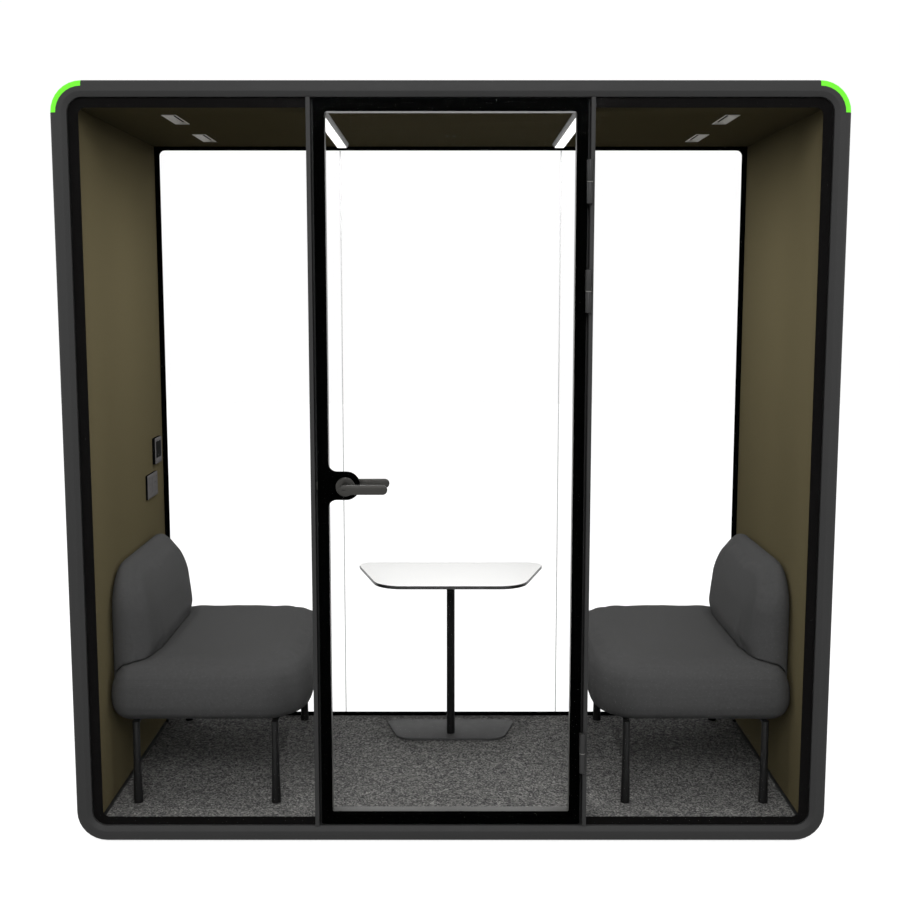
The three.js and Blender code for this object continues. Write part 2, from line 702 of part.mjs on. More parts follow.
function addHandle() {
  const rod = (y0, y1) => turnedAlongDepth([
    [0, y0], [NECK_RADIUS, y0], [NECK_RADIUS, y1], [0, y1],
  ], 32).translate(HANDLE_X, 0, HANDLE_Z);
  const innerArm = INNER_LEVER_BACK - LEVER;
  const outside = join(
    leverArm(-LEVER_REACH),
    rod(LEVER - LEVER_REACH - LAP, LEAF_FRONT - LAP),
    spindleBar(SPINDLE, LEAF_FRONT - 2 * LAP, innerArm - 2 * LAP),
  );
  addPart('lever_outside', outside, finishes.handle);
  const inside = cut(
    join(leverArm(innerArm), rod(STILE_BACK + LAP, innerArm + LAP)),
    spindleBar(SPINDLE + RUNNING_GAP, STILE_BACK, innerArm - LAP),
  );
  addPart('lever_inside', inside, finishes.handle);

  const bore = NECK_RADIUS + RUNNING_GAP;
  const rosette = () => turnedAlongDepth([
    [bore, 0],
    [ROSETTE_RADIUS, 0],
    [ROSETTE_RADIUS, ROSETTE - 2],
    [ROSETTE_RADIUS - 2, ROSETTE],
    [bore, ROSETTE],
    [bore, 0],
  ], 32);
  const outer = rosette().rotateZ(Math.PI).translate(HANDLE_X, LEAF_FRONT - GAP, HANDLE_Z);
  const inner = rosette().translate(HANDLE_X, STILE_BACK + GAP, HANDLE_Z);
  addPart('rosette_outside', outer, finishes.handle);
  addPart('rosette_inside', inner, finishes.handle);

  const nose = new THREE.Shape();
  nose.moveTo(BOLT_TAIL, BOLT_FRONT);
  nose.lineTo(BOLT_TAIL, BOLT_BACK);
  nose.lineTo(BOLT_TIP + 9, BOLT_BACK);
  nose.lineTo(BOLT_TIP, BOLT_FRONT + 4);
  nose.lineTo(BOLT_TIP, BOLT_FRONT);
  nose.closePath();
  const z = [HANDLE_Z - BOLT_HALF_HEIGHT, HANDLE_Z + BOLT_HALF_HEIGHT];
  addPart('latch_bolt', flat(nose, ...z), finishes.aluminium);
}

// Each hinge is two barrels: the lower, with the pin and washer, on the post; the upper on the leaf

function addHinges() {
  const chamfer = 1.5;
  const wing = BARREL_RADIUS / 2;
  for (const [place, height] of Object.entries(HINGE_HEIGHTS)) {
    const seat = HINGE_WASHER / 2;
    const lower = join(
      turned([
        [0, -HINGE_HALF_LENGTH], [BARREL_RADIUS - chamfer, -HINGE_HALF_LENGTH],
        [BARREL_RADIUS, chamfer - HINGE_HALF_LENGTH], [BARREL_RADIUS, -seat],
        [BARREL_RADIUS - 1, -seat], [BARREL_RADIUS - 1, seat], [PIN_RADIUS, seat],
        [PIN_RADIUS, PIN_LENGTH], [0, PIN_LENGTH],
      ]),
      block([wing, BARREL_RADIUS], [0, POST_FRONT - HINGE_Y - GAP], [-HINGE_HALF_LENGTH + 2, -seat]),
    );
    const upper = cut(
      join(
        turned([
          [0, seat + GAP], [BARREL_RADIUS, seat + GAP],
          [BARREL_RADIUS, HINGE_HALF_LENGTH - chamfer],
          [BARREL_RADIUS - chamfer, HINGE_HALF_LENGTH], [0, HINGE_HALF_LENGTH],
        ]),
        block(
          [-BARREL_RADIUS, -wing], [0, LEAF_FRONT - HINGE_Y - GAP],
          [seat + GAP, HINGE_HALF_LENGTH - 2],
        ),
      ),
      disc(PIN_RADIUS + RUNNING_GAP, 0, PIN_LENGTH + RUNNING_GAP, 24),
    );
    const place3 = [HINGE_X, HINGE_Y, height];
    addPart(`hinge_post_${place}`, lower.translate(place3), finishes.post);
    addPart(`hinge_leaf_${place}`, upper.translate(place3), finishes.post);
  }
}

// Light bars: a grey trapezoid profile with a white lens set into its underside

function addLights() {
  const top = CEILING - GAP;
  const bottom = CEILING - LIGHT_DROP;
  const half = DIFFUSER_WIDTH / 2;
  for (const [name, x] of [['left', -LIGHT_X], ['right', LIGHT_X]]) {
    const section = new THREE.Shape();
    section.moveTo(x - LIGHT_TOP / 2, top);
    section.lineTo(x - LIGHT_BOTTOM / 2, bottom);
    section.lineTo(x - half - GAP, bottom);
    section.lineTo(x - half - GAP, bottom + DIFFUSER);
    section.lineTo(x + half + GAP, bottom + DIFFUSER);
    section.lineTo(x + half + GAP, bottom);
    section.lineTo(x + LIGHT_BOTTOM / 2, bottom);
    section.lineTo(x + LIGHT_TOP / 2, top);
    section.closePath();
    const lens = block(
      [x - half, x + half], [LIGHT_FRONT, LIGHT_BACK], [bottom - 1, bottom + DIFFUSER - GAP],
    );
    addPart(`light_bar_${name}`, upright(section, LIGHT_FRONT, LIGHT_BACK), finishes.aluminium);
    addPart(`light_lens_${name}`, lens, finishes.lightLens);
  }
}

// Air outlets: a flanged slot in the ceiling with a slanted deflector blade

function outletPlaces() {
  const outer = OUTLET_INNER_X + OUTLET_WIDTH;
  return Object.entries(OUTLET_FRONTS).flatMap(([row, y]) => [
    { name: `air_outlet_left_${row}`, x: [-outer, -OUTLET_INNER_X], y: [y, y + OUTLET_LENGTH] },
    { name: `air_outlet_right_${row}`, x: [OUTLET_INNER_X, outer], y: [y, y + OUTLET_LENGTH] },
  ]);
}

function addOutlets() {
  const shrink = ([a, b], by) => [a + by, b - by];
  const below = CEILING - GAP;
  const sleeve = OUTLET_LIP + GAP;
  const bore = sleeve + OUTLET_WALL;
  const top = INNER_ROOF - GAP;
  for (const { name, x, y } of outletPlaces()) {
    const frame = cut(
      join(
        block(x, y, [below - OUTLET_FLANGE, below]),
        block(shrink(x, sleeve), shrink(y, sleeve), [below - 1, top]),
      ),
      block(shrink(x, bore), shrink(y, bore), [0, HEIGHT]),
    );
    const side = Math.sign(x[0]);
    const foot = Math.max(Math.abs(x[0]), Math.abs(x[1])) - bore + 1;
    const cover = foot - (OUTLET_WIDTH - 2 * bore) * BLADE_COVER;
    const blade = new THREE.Shape();
    blade.moveTo(side * foot, below);
    blade.lineTo(side * cover, below + BLADE_RISE);
    blade.lineTo(side * cover, below + BLADE_RISE + BLADE);
    blade.lineTo(side * foot, below + BLADE);
    blade.closePath();
    const vane = toSolid(upright(blade, y[0] + bore - 1, y[1] - bore + 1));
    addPart(name, frame.add(vane), finishes.greyPlastic);
  }
}

// Control panel with a recessed screen, and a double socket plate

function wallPlate([y0, y1], [z0, z1], thickness, radius) {
  const edge = FITTING_EDGE;
  const outline = rectangle([y0, y1], [z0, z1], radius);
  const plate = new THREE.ExtrudeGeometry(outline, {
    depth: thickness - edge, bevelThickness: edge, bevelSize: edge, bevelOffset: -edge,
    bevelSegments: 2, curveSegments: 2,
  });
  plate.rotateX(Math.PI / 2).rotateZ(Math.PI / 2).translate(-WALL_FACE + GAP, 0, 0);
  const behind = block([-HALF_WIDTH, -WALL_FACE + GAP], [0, DEPTH], [0, HEIGHT]);
  return cut(toSolid(plate), behind);
}

function addWallFittings() {
  const face = -WALL_FACE + GAP;
  const screen = block(
    [face + PANEL_THICKNESS - FITTING_RECESS, 0],
    [PANEL_Y[0] + SCREEN_SIDE, PANEL_Y[1] - SCREEN_SIDE],
    [PANEL_Z[0] + SCREEN_BELOW, PANEL_Z[1] - SCREEN_ABOVE],
  );
  const panel = wallPlate(PANEL_Y, PANEL_Z, PANEL_THICKNESS, PANEL_RADIUS);
  addPart('control_panel', cut(panel, screen), finishes.darkPlastic);

  const middle = (SOCKET_Y[0] + SOCKET_Y[1]) / 2;
  const half = SOCKET_WELL / 2;
  const wells = [-1, 1].map((side) => {
    const y = middle + side * SOCKET_PITCH / 2;
    const z = (SOCKET_Z[0] + SOCKET_Z[1]) / 2;
    const front = [face + SOCKET_THICKNESS - FITTING_RECESS, 0];
    return block(front, [y - half, y + half], [z - half, z + half]);
  });
  const plate = wallPlate(SOCKET_Y, SOCKET_Z, SOCKET_THICKNESS, SOCKET_RADIUS);
  addPart('socket_plate', cut(plate, ...wells), finishes.darkPlastic);
}

// Table: a thin trapezoid top and a like base plate on a slim column

function trapezoid(front, back, frontHalf, backHalf, frontRadius, backRadius) {
  return filleted([
    [-frontHalf, front, frontRadius], [frontHalf, front, frontRadius],
    [backHalf, back, backRadius], [-backHalf, back, backRadius],
  ]);
}

function addTable() {
  const underside = TABLE_TOP - TABLE_THICKNESS;
  const top = trapezoid(
    TABLE_FRONT, TABLE_BACK, TABLE_FRONT_HALF, TABLE_BACK_HALF,
    TABLE_FRONT_RADIUS, TABLE_BACK_RADIUS,
  );
  addPart('table_top', flat(top, underside, TABLE_TOP), finishes.laminate);
  const base = trapezoid(
    BASE_FRONT, BASE_BACK, BASE_FRONT_HALF, BASE_BACK_HALF, BASE_FRONT_RADIUS, BASE_BACK_RADIUS,
  );
  const floor = CARPET + GAP;
  addPart('table_base', flat(base, floor, floor + BASE_THICKNESS), finishes.charcoal);
  const foot = floor + BASE_THICKNESS + GAP;
  const plate = underside - GAP;
  const column = turned([
    [0, foot], [COLUMN_RADIUS, foot], [COLUMN_RADIUS, plate - COLUMN_PLATE],
    [COLUMN_PLATE_RADIUS, plate - COLUMN_PLATE], [COLUMN_PLATE_RADIUS, plate], [0, plate],
  ]);
  addPart('table_column', column.translate(0, COLUMN_Y, 0), finishes.blackMetal);
}

// Benches: upholstered seat and back over a welded frame with four legs

// A padded outline: rounded corners [a, b, radius] drawn in by an inset, in even steps
function padOutline([a0, a1], [b0, b1], radii, inset) {
  const least = 10;
  const corners = [[a0, b0, 1, 1, 2], [a1, b0, -1, 1, 3], [a1, b1, -1, -1, 0], [a0, b1, 1, -1, 1]];
  return corners.flatMap(([a, b, toA, toB, quarter], i) => {
    const radius = Math.max(radii[i] - inset, least);
    const centreA = a + toA * (inset + radius);
    const centreB = b + toB * (inset + radius);
    return Array.from({ length: CORNER_STEPS + 1 }, (_, k) => {
      const angle = (quarter + k / CORNER_STEPS) * (Math.PI / 2);
      return [centreA + radius * Math.cos(angle), centreB + radius * Math.sin(angle)];
    });
  });
}

// Share of the pad's thickness at each inset: tucked under, round at the rim, crowned on top
const SEAT_LEVELS = [
  [62, 0], [34, 0.03], [12, 0.12], [2, 0.27], [0, 0.43],
  [4, 0.62], [15, 0.79], [36, 0.91], [68, 0.965], [130, 0.99], [230, 1],
];
const BACK_LEVELS = [
  [44, 0], [22, 0.05], [7, 0.18], [0, 0.38], [3, 0.55],
  [14, 0.72], [34, 0.86], [64, 0.95], [110, 0.985], [165, 1],
];

function addBench(side) {
  const place = (geometry) => (side === 'left' ? geometry : mirrored(geometry));
  const seatRadii = [SEAT_WALL_RADIUS, SEAT_EDGE_RADIUS, SEAT_EDGE_RADIUS, SEAT_WALL_RADIUS];
  const seatRings = SEAT_LEVELS.map(([inset, share]) => padOutline(
    [BENCH_WALL, SEAT_EDGE], [SEAT_FRONT, SEAT_BACK], seatRadii, inset,
  ).map(([x, y]) => new THREE.Vector3(x, y, SEAT_UNDERSIDE + share * SEAT_THICKNESS)));
  const seat = skin(seatRings);
  addPart(`${side}_bench_seat`, place(seat), finishes.upholstery);

  const backRadii = [BACK_FOOT_RADIUS, BACK_FOOT_RADIUS, BACK_RADIUS, BACK_RADIUS];
  const slim = (z) => 1 - BACK_LEAN * (Math.max(0, z - BACK_LEAN_FROM) / (BACK_TOP - BACK_LEAN_FROM)) ** BACK_LEAN_POWER;
  const backRings = BACK_LEVELS.map(([inset, share]) => padOutline(
    [BACK_FRONT, BACK_BACK], [BACK_BOTTOM, BACK_TOP], backRadii, inset,
  ).map(([y, z]) => new THREE.Vector3(BENCH_WALL + share * BACK_THICKNESS * slim(z), y, z)));
  const lifted = seat.clone().translate(0, 0, BACK_LIFT);
  const below = block([-HALF_WIDTH, 0], [0, DEPTH], [0, BACK_FOOT]);
  const back = cut(toSolid(skin(backRings)), lifted, below);
  addPart(`${side}_bench_back`, place(toGeometry(back)), finishes.upholstery);

  const railTop = SEAT_UNDERSIDE - GAP;
  const legs = LEG_X.flatMap((x) => LEG_Y.map((y) => turned([
    [0, CARPET + GAP], [LEG_FOOT_RADIUS, CARPET + GAP], [LEG_FOOT_RADIUS, CARPET + LEG_FOOT],
    [LEG_WAIST_RADIUS, CARPET + LEG_WAIST], [LEG_TOP_RADIUS, railTop - RAIL], [LEG_TOP_RADIUS, railTop], [0, railTop],
  ], 16).translate(x, y, 0)));
  const across = (middle) => [middle - RAIL_WIDTH / 2, middle + RAIL_WIDTH / 2];
  const rails = [
    ...LEG_X.map((x) => block(across(x), LEG_Y, [railTop - RAIL, railTop])),
    ...CROSS_RAIL_Y.map((y) => block(LEG_X, across(y), [railTop - RAIL, railTop])),
  ];
  const frame = join(...rails, ...legs);
  addPart(`${side}_bench_frame`, place(toGeometry(frame)), finishes.blackMetal);
}

addRings();
addShell();
addFan();
addLinings();
addGlazing();
addDoorway();
addDoorLeaf();
addHandle();
addHinges();
addLights();
addOutlets();
addWallFittings();
addTable();
addBench('left');
addBench('right');

pod.position.set(0, (LEVER_REACH - DEPTH) / 2, FOOT_HEIGHT);

export default pod;
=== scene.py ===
import json
import math

import bpy
from mathutils.bvhtree import BVHTree
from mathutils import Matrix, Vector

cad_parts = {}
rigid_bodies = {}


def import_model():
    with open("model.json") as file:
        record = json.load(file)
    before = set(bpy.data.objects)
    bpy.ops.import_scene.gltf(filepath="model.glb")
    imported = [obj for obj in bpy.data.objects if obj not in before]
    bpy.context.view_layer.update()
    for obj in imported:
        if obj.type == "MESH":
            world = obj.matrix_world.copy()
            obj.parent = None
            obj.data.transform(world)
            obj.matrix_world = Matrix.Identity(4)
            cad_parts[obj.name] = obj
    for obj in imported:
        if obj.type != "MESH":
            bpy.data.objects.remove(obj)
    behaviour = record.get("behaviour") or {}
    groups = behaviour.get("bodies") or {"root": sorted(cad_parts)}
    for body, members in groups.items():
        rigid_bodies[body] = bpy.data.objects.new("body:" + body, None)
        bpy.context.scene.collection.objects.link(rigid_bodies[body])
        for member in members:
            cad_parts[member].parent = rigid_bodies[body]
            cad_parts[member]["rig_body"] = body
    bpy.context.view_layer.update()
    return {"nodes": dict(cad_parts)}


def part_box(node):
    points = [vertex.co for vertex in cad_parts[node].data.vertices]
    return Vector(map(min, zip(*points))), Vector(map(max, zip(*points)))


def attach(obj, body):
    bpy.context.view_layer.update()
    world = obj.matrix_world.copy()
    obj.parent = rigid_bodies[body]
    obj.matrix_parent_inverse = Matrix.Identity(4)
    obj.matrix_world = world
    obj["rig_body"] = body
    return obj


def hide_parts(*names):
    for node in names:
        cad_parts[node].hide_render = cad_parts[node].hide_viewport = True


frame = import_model()


# Studio: a white sweep with a large soft lamp high in front, a weaker one on each side
# and an even sky. The camera stands in front of the door at eye level and looks
# slightly down.

scene = bpy.context.scene
scene.view_settings.view_transform = "Standard"

camera = bpy.data.objects.new("camera", bpy.data.cameras.new("camera"))
camera.data.lens = 49.71
camera.data.sensor_width = 36
camera.data.shift_x = -0.00077
camera.location = (0, -4.0763, 1.6505)
camera.rotation_euler = (math.radians(82.939), 0, 0)
scene.collection.objects.link(camera)
scene.camera = camera


def soft_lamp(name, place, aim, size, watts):
    lamp = bpy.data.objects.new(name, bpy.data.lights.new(name, "AREA"))
    lamp.data.shape = "DISK"
    lamp.data.size = size
    lamp.data.energy = watts
    run = [a - p for a, p in zip(aim, place)]
    lamp.location = place
    tip = math.atan2(math.hypot(run[0], run[1]), -run[2])
    lamp.rotation_euler = (tip, 0, math.atan2(run[1], run[0]) - math.pi / 2)
    scene.collection.objects.link(lamp)


POD_MIDDLE = (0, 0, 1.0)

soft_lamp("key_lamp", (0, -5.4, 3.9), POD_MIDDLE, 3.2, 185)
soft_lamp("left_lamp", (-5.0, -2.2, 2.6), POD_MIDDLE, 2.4, 60)
soft_lamp("right_lamp", (5.0, -2.2, 2.6), POD_MIDDLE, 2.4, 60)


class Wire:
    """A shader socket that takes part in Python arithmetic."""

    def __init__(self, tree, socket):
        self.tree = tree
        self.socket = socket

    def node(self, kind, settings, sockets, out=0):
        made = self.tree.nodes.new(kind)
        for name, value in settings.items():
            if name == "stops":
                ramp = made.color_ramp.elements
                while len(ramp) < len(value):
                    ramp.new(1.0)
                for stop, (position, colour) in zip(ramp, value):
                    stop.position, stop.color = position, colour
            else:
                setattr(made, name, value)
        for name, value in sockets.items():
            if isinstance(value, Wire):
                self.tree.links.new(value.socket, made.inputs[name])
            else:
                made.inputs[name].default_value = value
        return Wire(self.tree, made.outputs[out])

    def math(self, operation, first, second):
        return self.node("ShaderNodeMath", {"operation": operation}, {0: first, 1: second})

    def __add__(self, other):
        return self.math("ADD", self, other)

    def __radd__(self, other):
        return self.math("ADD", other, self)

    def __sub__(self, other):
        return self.math("SUBTRACT", self, other)

    def __rsub__(self, other):
        return self.math("SUBTRACT", other, self)

    def __mul__(self, other):
        return self.math("MULTIPLY", self, other)

    def __rmul__(self, other):
        return self.math("MULTIPLY", other, self)

    def __pow__(self, other):
        return self.math("POWER", self, other)

    def __gt__(self, other):
        return self.math("GREATER_THAN", self, other)


def first_wire(tree, kind, out):
    return Wire(tree, tree.nodes.new(kind).outputs[out])


def seen_direct(tree):
    """1 for rays that see the studio itself, 0 for those that only carry its light."""
    ray = tree.nodes.new("ShaderNodeLightPath")
    kinds = ("Is Camera Ray", "Is Glossy Ray", "Is Transmission Ray")
    straight, mirrored, refracted = (Wire(tree, ray.outputs[kind]) for kind in kinds)
    return straight.node(
        "ShaderNodeMath", {"operation": "ADD", "use_clamp": True}, {0: straight + mirrored, 1: refracted},
    )


WHITE = (1, 1, 1, 1)
SKY_LIGHT = 0.54
SKY_SEEN = 1.02
FLOOR_SEEN = 0.78

world = bpy.data.worlds.new("studio_sky")
scene.world = world
world.use_nodes = True
sky = world.node_tree
sky.nodes.clear()
direct = seen_direct(sky)
lit = direct.node("ShaderNodeBackground", {}, {"Color": WHITE, "Strength": SKY_LIGHT})
plain = direct.node("ShaderNodeBackground", {}, {"Color": WHITE, "Strength": SKY_SEEN})
shown = direct.node("ShaderNodeMixShader", {}, {0: direct, 1: lit, 2: plain})
sky.links.new(shown.socket, sky.nodes.new("ShaderNodeOutputWorld").inputs[0])


def deselect():
    if bpy.context.object and bpy.context.object.mode != "OBJECT":
        bpy.ops.object.mode_set(mode="OBJECT")
    bpy.ops.object.select_all(action="DESELECT")


def pick(piece):
    deselect()
    piece.select_set(True)
    bpy.context.view_layer.objects.active = piece


deselect()
bpy.ops.mesh.primitive_plane_add(size=30, location=(0, 0, 0))
floor = bpy.context.object
floor.name = "studio_floor"
sweep = bpy.data.materials.new("studio_sweep")
sweep.use_nodes = True
ground = sweep.node_tree
ground.nodes.clear()
direct = seen_direct(ground)
dull = direct.node("ShaderNodeBsdfDiffuse", {}, {"Color": (0.16, 0.16, 0.16, 1)})
pale = direct.node("ShaderNodeBsdfDiffuse", {}, {"Color": (0.6, 0.6, 0.6, 1)})
glow = direct.node("ShaderNodeEmission", {}, {"Color": WHITE, "Strength": FLOOR_SEEN})
bright = direct.node("ShaderNodeAddShader", {}, {0: pale, 1: glow})
shown = direct.node("ShaderNodeMixShader", {}, {0: direct, 1: dull, 2: bright})
ground.links.new(shown.socket, ground.nodes.new("ShaderNodeOutputMaterial").inputs[0])
floor.data.materials.append(sweep)


# Rings: two rounded frames of folded aluminium channel, welded at the corners and powder
# coated in charcoal. The shell is clamped between them. The coat has a fine orange peel.


def srgb(*levels):
    """A colour given in 0-255 screen levels, as linear light."""
    shares = [level / 255 for level in levels]
    linear = [s / 12.92 if s < 0.0405 else ((s + 0.055) / 1.055) ** 2.4 for s in shares]
    return (*linear, 1.0)


def greys(low, high):
    return srgb(low, low, low), srgb(high, high, high)


def mix(mask, low, high):
    return mask.node("ShaderNodeMix", {"data_type": "RGBA"}, {0: mask, 6: low, 7: high}, 2)


def noise(place, scale, detail=2.0, roughness=0.5):
    sockets = {"Vector": place, "Scale": scale, "Detail": detail, "Roughness": roughness}
    return place.node("ShaderNodeTexNoise", {}, sockets)


def stretched(place, along):
    return place.node("ShaderNodeMapping", {}, {"Vector": place, "Scale": along})


def bump(height, strength, distance):
    sockets = {"Strength": strength, "Distance": distance, "Height": height}
    return height.node("ShaderNodeBump", {}, sockets)


def finish(name, recipe, **fixed):
    """A material from a recipe for what changes over the surface and fixed values for the rest."""
    material = bpy.data.materials.new(name)
    material.use_nodes = True
    tree = material.node_tree
    shader = tree.nodes["Principled BSDF"]
    for socket, value in fixed.items():
        shader.inputs[socket.replace("_", " ")].default_value = value
    for socket, wire in recipe(first_wire(tree, "ShaderNodeTexCoord", "Object")).items():
        tree.links.new(wire.socket, shader.inputs[socket])
    return material


def ease(piece, edge, segments=3, angle=30):
    eased = piece.modifiers.new("eased", "BEVEL")
    eased.width = edge
    eased.segments = segments
    eased.limit_method = "ANGLE"
    eased.angle_limit = math.radians(angle)
    pick(piece)
    bpy.ops.object.modifier_apply(modifier=eased.name)


WELD = 0.00002


def dress(node, material, edge=0.0008, segments=2, angle=32):
    """A copy of a CAD node with its sharp edges eased, which stands for the node."""
    source = frame["nodes"][node]
    piece = bpy.data.objects.new(node + "_shown", source.data.copy())
    scene.collection.objects.link(piece)
    pick(piece)
    bpy.ops.mesh.customdata_custom_splitnormals_clear()
    bpy.ops.object.mode_set(mode="EDIT")
    bpy.ops.mesh.select_all(action="SELECT")
    bpy.ops.mesh.remove_doubles(threshold=WELD)
    bpy.ops.mesh.dissolve_limited(angle_limit=math.radians(0.5))
    bpy.ops.object.mode_set(mode="OBJECT")
    ease(piece, edge, segments, angle)
    bpy.ops.object.shade_smooth_by_angle(angle=math.radians(angle))
    piece.data.materials.clear()
    piece.data.materials.append(material)
    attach(piece, source["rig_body"])
    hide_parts(node)
    return piece


def powder_coat(colour, worn):
    def recipe(place):
        cloud = noise(place, 3.0, 3.0)
        peel = noise(place, 900.0, 2.0)
        return {
            "Base Color": mix(cloud, colour, worn),
            "Roughness": 0.46 + 0.16 * noise(place, 40.0, 4.0),
            "Normal": bump(peel, 0.12, 0.0004),
        }

    return recipe


charcoal_coat = finish("charcoal_coat", powder_coat(*greys(49, 53)), Specular_IOR_Level=0.12)

for ring in ("front_ring", "rear_ring"):
    dress(ring, charcoal_coat, 0.0012, 5, 20)


# Status lights: a frosted acrylic bar let into each top corner of the front ring and lit
# from behind in green, a little brighter in patches across the frost.


def lit_lens(edge, middle, scale):
    def recipe(place):
        frost = noise(place, scale, 3.0)
        return {
            "Emission Color": mix(frost, edge, middle),
            "Roughness": 0.35 + 0.2 * frost,
        }

    return recipe


green_lens = finish(
    "green_lens", lit_lens(srgb(116, 248, 52), srgb(130, 255, 66), 60.0),
    Base_Color=srgb(20, 60, 10), Specular_IOR_Level=0.1, Emission_Strength=0.95,
)

for side in ("left", "right"):
    dress("status_light_" + side, green_lens, 0.0006)


# Shell: roof, base and two side panels of laminated acoustic board in charcoal lacquer,
# set 4 mm inside the rings. They stand on four rubber-faced levelling feet.

board_lacquer = finish("board_lacquer", powder_coat(*greys(56, 60)), Specular_IOR_Level=0.2)

for board in ("roof_shell", "base_shell", "left_side_panel", "right_side_panel"):
    dress(board, board_lacquer, 0.0015)


def rubber_skin(place):
    grain = noise(place, 420.0, 3.0)
    return {
        "Base Color": mix(noise(place, 30.0), srgb(22, 22, 22), srgb(32, 32, 31)),
        "Roughness": 0.7 + 0.15 * grain,
        "Normal": bump(grain, 0.25, 0.0004),
    }


black_rubber = finish("black_rubber", rubber_skin, Specular_IOR_Level=0.15)

for end in ("front", "rear"):
    for side in ("left", "right"):
        dress(f"foot_{end}_{side}", black_rubber)


# Fan: a moulded impeller in a flat housing above the ceiling, screwed into the roof shell. It
# draws air in through the slots in the roof and feeds the four outlets.


def moulded_skin(low, high):
    def recipe(place):
        grain = noise(place, 700.0, 2.0)
        return {
            "Base Color": mix(noise(place, 12.0, 4.0), low, high),
            "Roughness": 0.5 + 0.15 * grain,
            "Normal": bump(grain, 0.18, 0.0003),
        }

    return recipe


dark_plastic = finish(
    "dark_plastic", moulded_skin(srgb(38, 38, 37), srgb(45, 45, 44)), Specular_IOR_Level=0.25,
)

dress("fan_housing", dark_plastic)
dress("fan_impeller", dark_plastic, 0.0003)


# Felt: the two walls and the ceiling are lined with pressed polyester felt in olive, glued
# to the boards. Short fibres lie in all directions and give it a fine marled surface.


def felt_skin(place):
    long_fibre = noise(stretched(place, (1.0, 1.0, 3.0)), 260.0, 4.0, 0.7)
    cross_fibre = noise(stretched(place, (1.0, 3.0, 1.0)), 240.0, 4.0, 0.7)
    marl = (long_fibre + cross_fibre) * 0.5
    cloud = noise(place, 5.0, 3.0)
    tone = mix(marl * 1.6 - 0.3, srgb(69, 63, 46), srgb(120, 111, 84))
    return {
        "Base Color": mix(cloud * 0.35, tone, srgb(95, 88, 65)),
        "Roughness": 0.86 + 0.1 * marl,
        "Normal": bump(marl, 0.55, 0.0016),
    }


olive_felt = finish("olive_felt", felt_skin, Specular_IOR_Level=0.0)

for lining in ("left_wall_lining", "right_wall_lining", "ceiling_lining"):
    dress(lining, olive_felt, 0.0025, 3)


# Carpet: loop-pile tiles in mixed greys on the base shell. Each loop is about 4 mm wide and
# the yarns are dyed in several greys, so the pile looks mottled.


LOOPS_PER_METRE = 230.0
YARNS = [
    (0.0, srgb(56, 56, 57)), (0.4, srgb(96, 96, 95)), (0.75, srgb(132, 131, 129)), (1.0, srgb(166, 165, 161)),
]


def loop_pile(place):
    tufts = {"Vector": place, "Scale": LOOPS_PER_METRE, "Randomness": 0.8}
    loops, yarn = (place.node("ShaderNodeTexVoronoi", {"feature": "F1"}, tufts, out) for out in (0, 1))
    dye = yarn.node("ShaderNodeSeparateColor", {}, {0: yarn})
    patch = noise(stretched(place, (1.0, 1.4, 1.0)), 46.0, 3.0, 0.6)
    tone = dye.node("ShaderNodeValToRGB", {"stops": YARNS}, {0: dye * 0.8 + patch * 0.7 - 0.25})
    return {
        "Base Color": tone,
        "Roughness": 0.9 + 0.08 * patch,
        "Normal": bump(1 - loops, 0.8, 0.005),
    }


grey_carpet = finish("grey_carpet", loop_pile, Specular_IOR_Level=0.0)

dress("carpet", grey_carpet, 0.001)


# Glass: laminated safety panes, two fixed in front, three butted at the rear and one for the
# door. Each has a black ceramic border printed on its inner face that hides the glazing tape.


def pane_skin(place):
    facing = first_wire(place.tree, "ShaderNodeLayerWeight", "Facing")
    return {
        "Roughness": 0.01 + 0.03 * noise(place, 2.0, 2.0),
        "Alpha": 0.004 + 0.45 * facing ** 4,
    }


clear_glass = finish("clear_glass", pane_skin, Base_Color=(0.01, 0.02, 0.015, 1), IOR=1.5)

for pane in (
    "front_glass_left", "front_glass_right", "door_glass",
    "rear_glass_left", "rear_glass_centre", "rear_glass_right",
):
    glass = frame["nodes"][pane].data
    glass.materials.clear()
    glass.materials.append(clear_glass)


def slab(name, x, y, z, axis, radius=0.0):
    """A box between two x, y and z values, with its corners along one axis rounded."""
    deselect()
    bpy.ops.mesh.primitive_cube_add(size=1, location=[sum(pair) / 2 for pair in (x, y, z)])
    piece = bpy.context.object
    piece.name = name
    piece.scale = [pair[1] - pair[0] for pair in (x, y, z)]
    bpy.ops.object.transform_apply(location=True, rotation=True, scale=True)
    if radius:
        bpy.ops.object.mode_set(mode="EDIT")
        bpy.ops.mesh.select_mode(type="EDGE")
        bpy.ops.mesh.select_all(action="DESELECT")
        bpy.ops.object.mode_set(mode="OBJECT")
        for edge in piece.data.edges:
            ends = [piece.data.vertices[i].co for i in edge.vertices]
            edge.select = abs(ends[0][axis] - ends[1][axis]) > 1e-6
        bpy.ops.object.mode_set(mode="EDIT")
        bpy.ops.mesh.bevel(offset=radius, segments=8, affect="EDGES")
        bpy.ops.object.mode_set(mode="OBJECT")
    return piece


def cut_out(piece, cutter, operation="DIFFERENCE"):
    trim = piece.modifiers.new("trim", "BOOLEAN")
    trim.operation = operation
    trim.object = cutter
    trim.solver = "EXACT"
    pick(piece)
    bpy.ops.object.modifier_apply(modifier=trim.name)
    bpy.data.objects.remove(cutter)


def settle(piece, material, body="pod"):
    pick(piece)
    bpy.ops.object.shade_smooth_by_angle(angle=math.radians(30))
    piece.data.materials.clear()
    piece.data.materials.append(material)
    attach(piece, body)
    return piece


def through(span):
    """A cutter's reach past both sides of a thin piece."""
    return span[0] - 0.01, span[1] + 0.01


